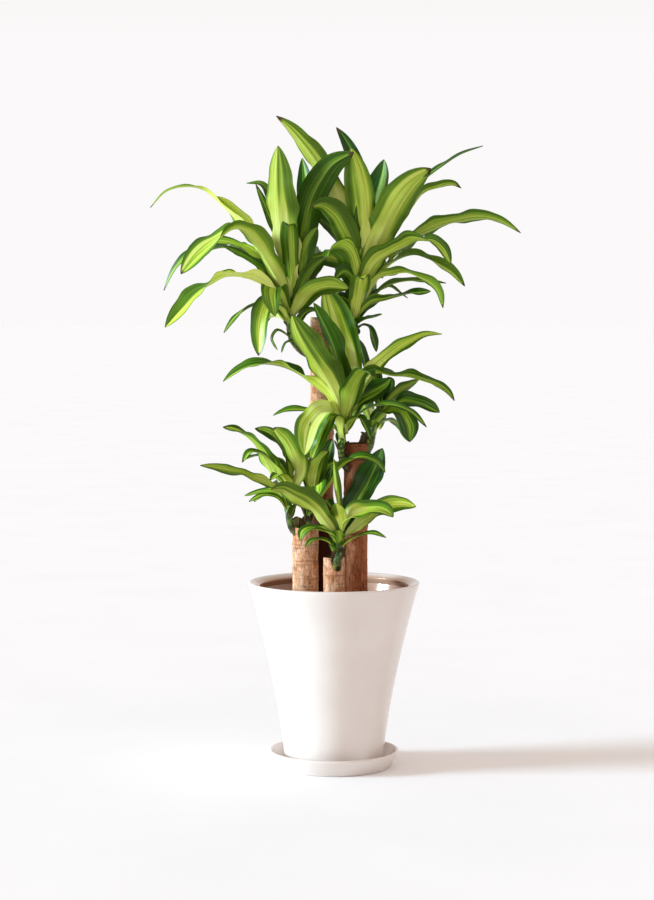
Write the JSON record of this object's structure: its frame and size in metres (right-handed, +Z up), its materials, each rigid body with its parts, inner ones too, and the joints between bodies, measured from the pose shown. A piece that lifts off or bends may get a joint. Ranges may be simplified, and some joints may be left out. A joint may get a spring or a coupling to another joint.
{
  "type": "potted corn plant",
  "caption": "Corn plant with striped arching leaves in leafy shoots on upright cut canes, in a tall flared glazed pot on a round saucer.",
  "frame": {"origin": "middle of the saucer's flat base, on the surface that it stands on", "axes": "+Z up along the canes, -Y towards the plant's front, +X to the right as seen from the front"},
  "size_m": [0.6483, 0.4079, 1.1363],
  "materials": {
    "glazed_ceramic": "smooth cream glaze, glossy",
    "potting_soil": "dry, crumbly, matt",
    "cane_bark": "tan cracked bark, matt",
    "leaf": "green with yellow-green stripes, semi-gloss"
  },
  "bodies": {
    "root": {"saucer": "glazed_ceramic", "pot": "glazed_ceramic", "soil": "potting_soil", "cane_left": "cane_bark", "cane_right": "cane_bark", "cane_tall": "cane_bark", "cane_small": "cane_bark", "shoot_top_left": "leaf", "shoot_top_right": "leaf", "shoot_middle": "leaf", "shoot_middle_right": "leaf", "shoot_left_outer": "leaf", "shoot_left_inner": "leaf", "shoot_front": "leaf"}
  },
  "joints": []
}
